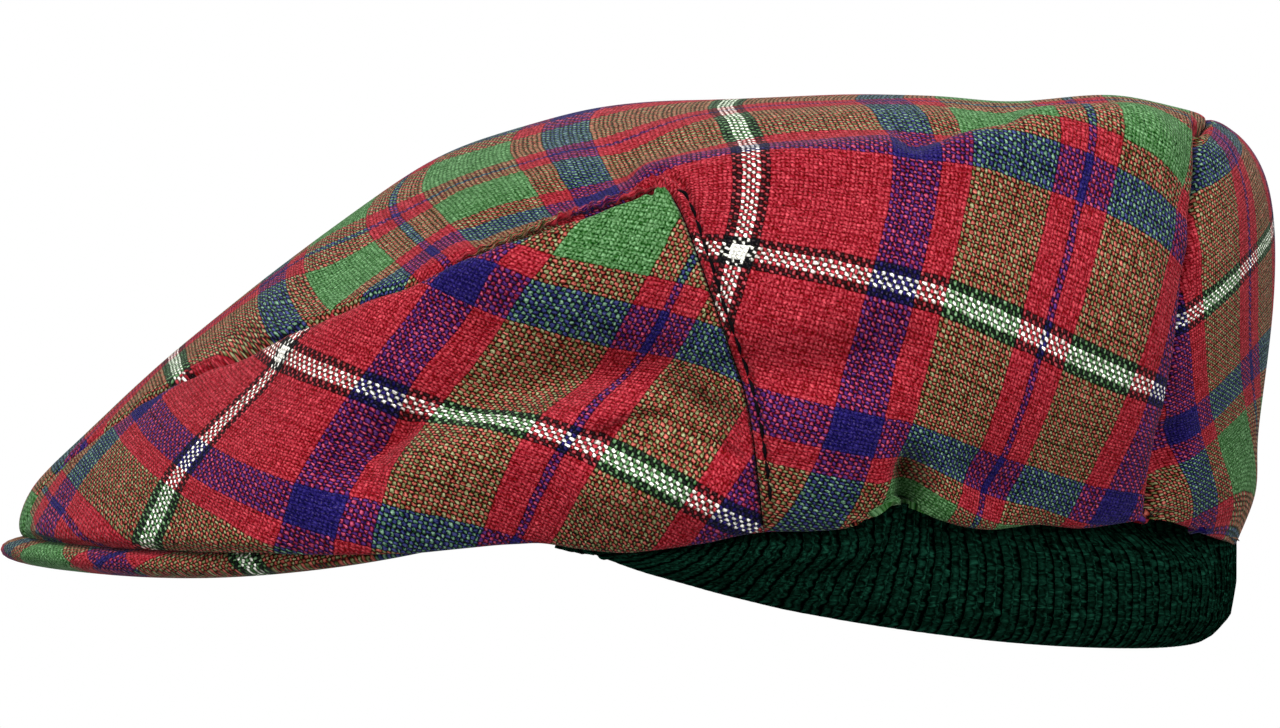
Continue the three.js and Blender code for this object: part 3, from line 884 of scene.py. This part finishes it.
def seamVertices(piece, spots):
    # its edge vertices that are sewn along these spots
    tree = treeOf(spots)
    mesh = bmesh.new()
    mesh.from_mesh(piece.data)
    found = set()
    for edge, away in edgeWays(mesh).items():
        middle = (edge.verts[0].co + edge.verts[1].co) / 2
        spot, k, far = tree.find(middle)
        faces = away.dot((spot - middle).normalized()) > cloth["facing"]
        if far < cloth["touching"] or (far < cloth["sewnWithin"] and faces):
            found.update(vertex.index for vertex in edge.verts)
    mesh.free()
    return sorted(found)


def sewToTop(piece, before, topSeam, topSpots):
    # the edge is drawn to the top panel's and moves as that did
    topPlaces, topMoves = topSeam
    topTree, spotTree = treeOf(topPlaces), treeOf(topSpots)
    sewn = before["sewn"]
    gaps = []
    for k in sewn:
        place = before["places"][k]
        near = topTree.find_n(place, 3)
        moved = sum((topMoves[n] for spot, n, away in near), Vector()) / len(near)
        spot, n, away = spotTree.find(place)
        close = (spot - place) * max(0.0, 1 - cloth["sewnGap"] / max(away, 1e-6))
        gaps.append(moved + close - (piece.data.vertices[k].co - place))
    seamTree = treeOf([before["places"][k] for k in sewn])
    for vertex, place in zip(piece.data.vertices, before["places"]):
        spot, n, away = seamTree.find(place)
        if away < cloth["sewReach"]:
            vertex.co += gaps[n] * (1 - away / cloth["sewReach"]) ** 2


def addAllowance(piece, sewn):
    # steps the sewn edge down and on under the top panel, behind the seam
    mesh = bmesh.new()
    mesh.from_mesh(piece.data)
    mesh.verts.ensure_lookup_table()
    seam = {mesh.verts[k] for k in sewn}
    edges = [edge for edge in mesh.edges if edge.is_boundary and seam.issuperset(edge.verts)]
    ways = edgeWays(mesh)
    beyond = {vertex: Vector() for edge in edges for vertex in edge.verts}
    under = {vertex: Vector() for vertex in beyond}
    for edge in edges:
        for vertex in edge.verts:
            beyond[vertex] += ways[edge]
            under[vertex] -= edge.link_faces[0].normal
    moves = {vertex: (beyond[vertex].normalized(), under[vertex].normalized()) for vertex in beyond}
    for onward, down in ((0.0, cloth["allowanceDepth"]), (cloth["allowance"], 0.0)):
        grown = bmesh.ops.extrude_edge_only(mesh, edges=edges)["geom"]
        fresh = {}
        for vertex in grown:
            if isinstance(vertex, bmesh.types.BMVert):
                source = next(edge.other_vert(vertex) for edge in vertex.link_edges
                              if edge.other_vert(vertex) in moves)
                fresh[vertex] = moves[source]
        for vertex, (away, inward) in fresh.items():
            vertex.co += away * onward + inward * down
        edges = [edge for edge in grown if isinstance(edge, bmesh.types.BMEdge)
                 and edge.verts[0] in fresh and edge.verts[1] in fresh]
        moves = fresh
    for face in mesh.faces:
        face.smooth = True
    mesh.to_mesh(piece.data)
    mesh.free()


def hangRim(made):
    # draws the rim down to where it hangs in the photo, and the cloth over it less and less
    width = rimHang["bin"]
    pixels = {name: np.array([photoPixel(vertex.co) for vertex in piece.data.vertices])
              for name, piece in made.items()}
    every = np.concatenate(list(pixels.values()))
    middles = np.arange(rimHang["from"], 1236, width)
    rims = np.array([every[np.abs(every[:, 0] - m) < width, 1].max() for m in middles])
    goals = np.interp(middles, *np.array(rimHang["pixels"], dtype=float).T)
    drops = goals - rims
    drops = np.convolve(np.pad(drops, 1, mode="edge"), (0.25, 0.5, 0.25), mode="valid")
    for name, piece in made.items():
        for vertex, (across, down) in zip(piece.data.vertices, pixels[name]):
            above = (np.interp(across, middles, rims) - down) * photoView["pixelSize"] / rimHang["reach"]
            give = max(0.0, 1 - max(0.0, above)) ** 2
            drop = np.interp(across, middles, drops) * photoView["pixelSize"]
            vertex.co.z -= drop * give
            if across > 1200:
                vertex.co.y -= rimHang["backTuck"] * give
    print("rim drawn down", (drops.min() * photoView["pixelSize"]).round(4), "to",
          (drops.max() * photoView["pixelSize"]).round(4))


def finishPiece(piece, nodes, material):
    makeActive(piece)
    bpy.ops.object.shade_smooth_by_angle(angle=math.radians(50))
    piece.data.materials.clear()
    piece.data.materials.append(material)
    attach(piece, "root")
    if nodes:
        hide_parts(*nodes)


def makePanels():
    made = {}
    for name, panel in panels.items():
        piece = takeSkin(name, panel["node"], panel["toward"])
        applyModifier(piece, "SUBSURF", levels=2, render_levels=2, boundary_smooth="PRESERVE_CORNERS")
        panel["area"] = cutFlat(piece)
        more = panel["levels"] - 2
        applyModifier(piece, "SUBSURF", levels=more, render_levels=more, boundary_smooth="PRESERVE_CORNERS",
                      uv_smooth="PRESERVE_BOUNDARIES")
        made[name] = piece
        print("panel", name, len(piece.data.polygons), "quads")
    edges, kinds = sortEdges(made)
    sewnFront = [spot for spot, kind in zip(edges["topPanel"], kinds["topPanel"]) if kind in ("front", "ear")]
    refineNear(made["topPanel"], sewnFront, cloth["fineReach"])
    easeTack(made["topPanel"])
    others = [name for name in made if name != "topPanel"]
    flat = {name: {"places": [vertex.co.copy() for vertex in piece.data.vertices]}
            for name, piece in made.items()}
    for name in others:
        flat[name]["sewn"] = seamVertices(made[name], edges["topPanel"])
    topSewn = seamVertices(made["topPanel"], [spot for name in others for spot in edges[name]])
    for name, piece in made.items():
        shapeCloth(piece, edges[name], kinds[name])
    topPlaces = [flat["topPanel"]["places"][k] for k in topSewn]
    topMoves = [made["topPanel"].data.vertices[k].co - place for k, place in zip(topSewn, topPlaces)]
    for name in others:
        sewToTop(made[name], flat[name], (topPlaces, topMoves), edges["topPanel"])
    hangRim(made)
    for name in others:
        rimTree = treeOf([spot for spot, kind in zip(edges[name], kinds[name]) if kind == "rim"])
        within = [k for k in flat[name]["sewn"]
                  if rimTree.find(flat[name]["places"][k])[2] > cloth["rimClear"]]
        addAllowance(made[name], within)
    for name, piece in made.items():
        layTartan(piece, panels[name]["marks"], panels[name]["side"])
        applyModifier(piece, "SOLIDIFY", thickness=cloth["wall"], offset=-1, use_even_offset=False)
        finishPiece(piece, [panels[name]["node"]], tartanWool)
    return made, (edges["topPanel"], kinds["topPanel"])


panelPieces, topEdges = makePanels()
print("panels shaped")


# Seam trim: the turned edge that shows as a knotted cord in the front seam, and stitches along the ear
trim = {
    "cordPixels": (455, 668),      # where the cord shows, along the photo
    "cordRadius": 0.0010,
    "knotLength": 0.0018,
    "cordStep": 0.00030,
    "cordSides": 8,
    "stitchLength": 0.0042,
    "stitchGap": 0.0004,
    "stitchRadius": 0.00040,
    "lastStitch": 0.010,           # above the origin, near the rim
    "threadColor": (0.003, 0.003, 0.004),
}


def evenly(path, step):
    # points at even steps along a path
    done = [path[0].copy()]
    for place in path[1:]:
        while (place - done[-1]).length > step:
            done.append(done[-1] + (place - done[-1]).normalized() * step)
    return done


def seamPath(spots, kinds, kind, side):
    found = [spot for spot, sort in zip(spots, kinds) if sort == kind and spot.x * side > 0]
    return sorted(found, key=lambda spot: spot.y if kind == "front" else -spot.z)


def surfaceAt(piece, place):
    hit, found, normal, index = piece.closest_point_on_mesh(place)
    face = piece.data.polygons[index]
    threads = [piece.data.uv_layers["threads"].data[k].uv for k in face.loop_indices]
    return found, normal, sum(threads, Vector((0, 0))) / len(threads)


def ringMesh(name, runs, sides):
    # closed tubes, each run a list of (middle, ring axis, ring axis, threads)
    places, faces, threads = [], [], []
    for run in runs:
        first = len(places)
        for middle, across, up, thread in run:
            for k in range(sides):
                angle = 2 * math.pi * k / sides
                places.append(middle + across * math.cos(angle) + up * math.sin(angle))
                threads.append((thread.x + 3 * math.cos(angle), thread.y + 3 * math.sin(angle)))
        for r in range(len(run) - 1):
            for k in range(sides):
                a, b = first + r * sides + k, first + r * sides + (k + 1) % sides
                faces.append((a, b, b + sides, a + sides))
        faces.append(tuple(first + k for k in reversed(range(sides))))
        faces.append(tuple(len(places) - sides + k for k in range(sides)))
    mesh = bpy.data.meshes.new(name)
    mesh.from_pydata(places, [], faces)
    layer = mesh.uv_layers.new(name="threads")
    for loop in mesh.loops:
        layer.data[loop.index].uv = threads[loop.vertex_index]
    piece = bpy.data.objects.new(name, mesh)
    scene.collection.objects.link(piece)
    return piece


def makeSeamTrim(top, spots, kinds):
    cords, stitches = [], []
    for side in (1, -1):
        low, high = trim["cordPixels"]
        path = [spot for spot in seamPath(spots, kinds, "front", side) if low < photoPixel(spot).x < high]
        path = evenly(path, trim["cordStep"])
        run = []
        for k, spot in enumerate(path[:-1]):
            found, normal, threads = surfaceAt(top, spot)
            ahead = (path[k + 1] - spot).normalized()
            across = ahead.cross(normal).normalized()
            knot = k * trim["cordStep"] / trim["knotLength"]
            ends = min(1.0, 0.2 + min(k, len(path) - 2 - k) * 0.03)
            size = trim["cordRadius"] * ends * (
                0.75 + 0.35 * abs(math.sin(math.pi * knot)) + 0.2 * noise.noise(spot * 900))
            sway = across * 0.0003 * math.sin(math.pi * knot)
            run.append((found + normal * 0.0003 + sway, across * size, across.cross(ahead) * -size, threads))
        cords.append(run)

        line = []
        for spot in evenly(seamPath(spots, kinds, "ear", side), 0.0003):
            if spot.z < trim["lastStitch"]:
                break
            beside = Vector((0.2 * side, spot.y + stitchAway(spot.z), spot.z))
            hit, found, normal, index = top.ray_cast(beside, Vector((-side, 0, 0)))
            if hit:
                line.append((found, normal, Vector((0, 0))))
        reach = trim["stitchLength"] + trim["stitchGap"]
        count = int(len(line) * 0.0003 / reach)
        for n in range(count):
            start = int(n * reach / 0.0003)
            run = []
            last = start + int(trim["stitchLength"] / 0.0003)
            for k in range(start, min(last, len(line) - 2) + 1):
                found, normal, threads = line[k]
                ahead = (line[k + 1][0] - found).normalized()
                across = ahead.cross(normal).normalized()
                share = (k - start) / (last - start)
                size = trim["stitchRadius"] * (0.45 + 0.55 * math.sin(math.pi * share))
                rise = normal * trim["stitchRadius"] * (1.2 * math.sin(math.pi * share) - 0.3)
                run.append((found + rise, across * size, across.cross(ahead) * -size, threads))
            if len(run) > 2:
                stitches.append(run)
    cord = ringMesh("seamCord", cords, trim["cordSides"])
    finishPiece(cord, [], tartanWool)
    yarn = bpy.data.materials.new("seamThread")
    yarn.use_nodes = True
    shader = yarn.node_tree.nodes["Principled BSDF"]
    shader.inputs["Base Color"].default_value = (*trim["threadColor"], 1)
    shader.inputs["Roughness"].default_value = 0.9
    shader.inputs["Specular IOR Level"].default_value = 0.05
    stitching = ringMesh("earStitches", stitches, 6)
    finishPiece(stitching, [], yarn)
    return cord, stitching


seamCord, earStitches = makeSeamTrim(panelPieces["topPanel"], *topEdges)
print("trim:", len(seamCord.data.polygons), "cord faces,", len(earStitches.data.polygons), "stitch faces")


# Peak: the CAD board with a padded, rounded edge, in the same cloth on both faces
peak = {
    "levels": 2,
    "whiteAt": (0.075, -0.121),     # on the edge, where the white stripe crosses it
    "crossCount": 61,               # and the crosswise thread there
    "turn": 264.7,                  # degrees from +X to the way the lengthwise count grows
    "padding": 0.0008,
    "edgeRadius": 0.0027,
    "middle": (0.0, -0.07),         # the cloth is pulled outwards from here
}


def makePeak():
    piece = bpy.data.objects.new("peakCloth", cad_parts["peak"].data.copy())
    scene.collection.objects.link(piece)
    piece.data.materials.clear()
    makeActive(piece)
    bpy.ops.object.mode_set(mode="EDIT")
    bpy.ops.mesh.select_all(action="SELECT")
    bpy.ops.mesh.remove_doubles(threshold=1e-6)
    bpy.ops.mesh.tris_convert_to_quads(
        face_threshold=math.pi, shape_threshold=math.pi, topology_influence=2.0)
    bpy.ops.object.mode_set(mode="OBJECT")
    applyModifier(piece, "SUBSURF", levels=peak["levels"], render_levels=peak["levels"])
    bpy.ops.object.mode_set(mode="EDIT")
    bpy.ops.mesh.select_all(action="SELECT")
    bpy.ops.transform.shrink_fatten(value=peak["padding"])
    bpy.ops.object.mode_set(mode="OBJECT")
    layer = piece.data.uv_layers.new(name="threads")
    turn = math.radians(peak["turn"])
    lengthwise = Vector((math.cos(turn), math.sin(turn)))
    crosswise = Vector((math.sin(turn), -math.cos(turn)))
    for loop in piece.data.loops:
        vertex = piece.data.vertices[loop.vertex_index]
        # the cloth goes round the edge, so it is longer than it looks from above
        bend = math.atan2(vertex.normal.xy.length, vertex.normal.z)
        out = (vertex.co.xy - Vector(peak["middle"])).normalized()
        place = vertex.co.xy + out * peak["edgeRadius"] * (bend - math.sin(bend)) - Vector(peak["whiteAt"])
        layer.data[loop.index].uv = (
            place.dot(lengthwise) / tartan["pitch"],
            peak["crossCount"] + place.dot(crosswise) / tartan["pitch"])
    finishPiece(piece, ["peak"], tartanWool)
    return piece


peakPiece = makePeak()
print("peak:", len(peakPiece.data.polygons), "faces")


# Knit band: single ribs round the head opening, each a column of V stitches
knit = {
    "headings": (72.6, 287.4),      # degrees from the peak, over the wearer's left
    "axis": (0.0, -0.03),           # headings are measured round this place
    "steps": 430,                   # rays for the base shape
    "smoothOver": 13,               # rays that are averaged, about three of the CAD ribs
    "ribPitch": 0.00435,
    "columns": 1500,
    "rows": 26,
    "ribDepth": 0.0014,
    "legPlace": 0.43,               # of the two rows of V legs on a rib, from its middle to the valley
    "legWidth": 0.455,
    "pullsOut": 2.1,                # how much longer the rib knit is when pulled flat
    "edgeRoll": 0.0013,
    "wall": 0.0022,
    "rowHeight": 0.0012,
    # where it swells out below the rim, and lies deeper under it, along the photo
    "swellPixels": (590, 650, 850, 895, 940, 1090, 1140, 1190, 1222),
    "swells": (0.0, 0.0052, 0.0048, 0.0, -0.0025, -0.0035, -0.0080, -0.0080, 0.0),
    "swellReach": 0.010,
    "flatEnd": (600, 720),          # ribs grow from the front ends between these, along the photo
    # painted shade in the rib valleys, the yarn's own colour, and a painted highlight for the ridges
    "valleyShade": (0.0001, 0.0006, 0.0003),
    "yarn": (0.0019, 0.0120, 0.0070),
    "ridgeHighlight": (0.0130, 0.0960, 0.0560),
    # how far ribs lean back as they rise, at places along the photo
    "leanPixels": (580, 640, 700, 750, 800, 850, 900, 960, 1050, 1150, 1250),
    "leans": (2.4, 2.0, 1.3, 0.80, 0.52, 0.37, 0.25, 0.11, -0.02, -0.10, -0.05),
}


def makeRibKnit():
    tree, start, end = newGroup(
        "ribKnit",
        [("Stitches", "NodeSocketVector")],
        [("Color", "NodeSocketColor"), ("Height", "NodeSocketFloat")])
    stitches = start.outputs["Stitches"]
    stray = tree.nodes.new("ShaderNodeVectorMath")
    stray.operation = "MULTIPLY_ADD"
    tree.links.new(noiseNode(tree, stitches, 0.8, 3).outputs["Color"], stray.inputs[0])
    stray.inputs[1].default_value = (0.55, 2.6, 0)
    tree.links.new(stitches, stray.inputs[2])
    split = tree.nodes.new("ShaderNodeSeparateXYZ")
    tree.links.new(stray.outputs[0], split.inputs[0])
    rib, row = split.outputs["X"], split.outputs["Y"]

    # from the rib's middle to the valley, and the slanting legs of the V stitches on both sides of it
    out = mathNode(tree, "MULTIPLY", mathNode(tree, "PINGPONG", rib, 0.5), 2.0)
    slant = mathNode(tree, "MULTIPLY_ADD", out, 0.9, row)
    leg = mathNode(tree, "SINE", mathNode(tree, "MULTIPLY", slant, 2 * math.pi))
    besideLeg = mathNode(tree, "MULTIPLY",
                         mathNode(tree, "SUBTRACT", out, knit["legPlace"]), 1 / knit["legWidth"])
    ridge = mathNode(tree, "SUBTRACT", 1.0, mathNode(tree, "MULTIPLY", besideLeg, besideLeg), clamp=True)
    legHeight = mathNode(tree, "MULTIPLY", mathNode(tree, "MULTIPLY_ADD", leg, 0.3, 0.7), ridge)

    # fuzzy yarn: a painted highlight on the fibre tips of the ridges, painted shade near black in the valleys
    # between them
    fibrePlace = joinXYZ(tree, mathNode(tree, "MULTIPLY", rib, 3.6), row)
    fibre = noiseNode(tree, fibrePlace, 1.3, 4).outputs["Fac"]
    tips = mathNode(tree, "MULTIPLY_ADD", fibre, 3.4, -1.35, clamp=True)
    yarn = mixColors(tree, "MIX", mathNode(tree, "POWER", ridge, 1.5), knit["valleyShade"], knit["yarn"])
    lit = mathNode(tree, "MULTIPLY", legHeight, tips)
    color = mixColors(tree, "MIX", lit, yarn, knit["ridgeHighlight"])
    height = mathNode(tree, "MULTIPLY_ADD", fibre, 1.0, legHeight)
    tree.links.new(color, end.inputs["Color"])
    tree.links.new(height, end.inputs["Height"])
    return tree


def makeKnitWool():
    wool = bpy.data.materials.new("ribKnit")
    wool.use_nodes = True
    nodes, links = wool.node_tree.nodes, wool.node_tree.links
    shader = nodes["Principled BSDF"]
    stitches = nodes.new("ShaderNodeUVMap")
    stitches.uv_map = "stitches"
    rib = nodes.new("ShaderNodeGroup")
    rib.node_tree = makeRibKnit()
    bump = nodes.new("ShaderNodeBump")
    bump.inputs["Strength"].default_value = 0.7
    bump.inputs["Distance"].default_value = 0.0005
    links.new(stitches.outputs["UV"], rib.inputs["Stitches"])
    links.new(rib.outputs["Color"], shader.inputs["Base Color"])
    links.new(rib.outputs["Height"], bump.inputs["Height"])
    links.new(bump.outputs["Normal"], shader.inputs["Normal"])
    shader.inputs["Roughness"].default_value = 0.9
    shader.inputs["Specular IOR Level"].default_value = 0.0
    return wool


def smoothRow(values):
    half = knit["smoothOver"] // 2
    padded = np.concatenate([np.full(half, values[0]), values, np.full(half, values[-1])])
    return np.convolve(padded, np.ones(knit["smoothOver"]) / knit["smoothOver"], mode="valid")


def bandShape():
    # the CAD band's outer face: its lower edge, and its distance from the axis at shares of its height
    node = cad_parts["knit_band"]
    headings = np.radians(np.linspace(*knit["headings"], knit["steps"]))
    corners = np.array([vertex.co for vertex in node.data.vertices])
    axis = np.array(knit["axis"])
    cornerHeadings = np.arctan2(corners[:, 0] - axis[0], axis[1] - corners[:, 1]) % (2 * math.pi)
    top = corners[:, 2].max()
    lows = np.array([corners[np.abs(cornerHeadings - h) < math.radians(1.5), 2].min() for h in headings])
    shares = np.linspace(0.02, 0.985, 14)
    radii = np.zeros((len(shares), len(headings)))
    for k, share in enumerate(shares):
        for n, h in enumerate(headings):
            way = Vector((math.sin(h), -math.cos(h), 0))
            z = top + (lows[n] - top) * share
            hit, place, normal, index = node.ray_cast(Vector((*axis, z)) + way * 0.2, -way)
            radii[k, n] = (place.xy - Vector(axis)).length if hit else radii[k, n - 1]
        radii[k] = smoothRow(radii[k])
    return headings, top, smoothRow(lows), shares, radii


def makeKnitBand():
    headings, top, lows, shares, radii = bandShape()
    columns, rows = knit["columns"], knit["rows"]
    spread = np.linspace(0, 1, len(headings))
    middle = radii[6]
    xs = knit["axis"][0] + middle * np.sin(headings)
    ys = knit["axis"][1] - middle * np.cos(headings)
    lengths = np.concatenate([[0], np.cumsum(np.hypot(np.diff(xs), np.diff(ys)))])
    rimLine = np.array(rimHang["pixels"], dtype=float).T
    places, stitches = [], []
    for c in range(columns + 1):
        share = np.interp(c / columns * lengths[-1], lengths, spread)
        h = np.interp(share, spread, headings)
        low = np.interp(share, spread, lows)
        column = [np.interp(share, spread, ring) for ring in radii]
        toBack = 1 if h < math.pi else -1
        for r in range(rows + 1):
            down = (r / rows) ** 0.9
            z = top + (low - top) * down
            radius = np.interp(down, shares, column)
            place = Vector((knit["axis"][0] + radius * math.sin(h),
                            knit["axis"][1] - radius * math.cos(h), z))
            lean = np.interp(photoPixel(place).x, knit["leanPixels"], knit["leans"])
            # ribs hang straight down at the sides, where the band draws in below
            drawn = (np.interp(share, spread, middle) - radius) * math.cos(h) * math.sin(h)
            rib = (c / columns * lengths[-1] - toBack * lean * (z - low) + drawn) / knit["ribPitch"]
            curve = max(0.0, (down - 0.95) / 0.05)
            grown = np.interp(photoPixel(place).x, knit["flatEnd"], (0.0, 1.0))
            besideLeg = (abs(rib - round(rib)) * 2 - knit["legPlace"]) / knit["legWidth"]
            ridge = max(0.0, 1 - besideLeg * besideLeg) ** 0.8
            out = knit["ribDepth"] * grown * (ridge - 0.6) * (1 - 0.5 * curve)
            out -= knit["edgeRoll"] * (1 - math.sqrt(max(0.0, 1 - curve * curve)))
            pixel = photoPixel(place)
            below = (pixel.y - np.interp(pixel.x, *rimLine)) * photoView["pixelSize"] / knit["swellReach"]
            rounded = max(0.0, 1 - (2.2 * below - 1) ** 2) if below > 0 else 0.0
            swell = np.interp(pixel.x, knit["swellPixels"], knit["swells"])
            out += swell * (rounded if swell > 0 else math.exp(-max(0.0, below) ** 2 * 4))
            place += Vector((math.sin(h), -math.cos(h), 0)) * out
            places.append(place)
            stitches.append((rib, (z - low) * math.sqrt(1 + lean * lean) / knit["rowHeight"]))
    faces = []
    for c in range(columns):
        for r in range(rows):
            a = c * (rows + 1) + r
            faces.append((a, a + 1, a + rows + 2, a + rows + 1))
    mesh = bpy.data.meshes.new("knitBand")
    mesh.from_pydata(places, [], faces)
    layer = mesh.uv_layers.new(name="stitches")
    for loop in mesh.loops:
        layer.data[loop.index].uv = stitches[loop.vertex_index]
    piece = bpy.data.objects.new("knitBand", mesh)
    scene.collection.objects.link(piece)
    applyModifier(piece, "SOLIDIFY", thickness=knit["wall"], offset=-1, use_even_offset=False)
    finishPiece(piece, ["knit_band"], makeKnitWool())
    return piece


bandPiece = makeKnitBand()
print("band:", len(bandPiece.data.polygons), "faces")
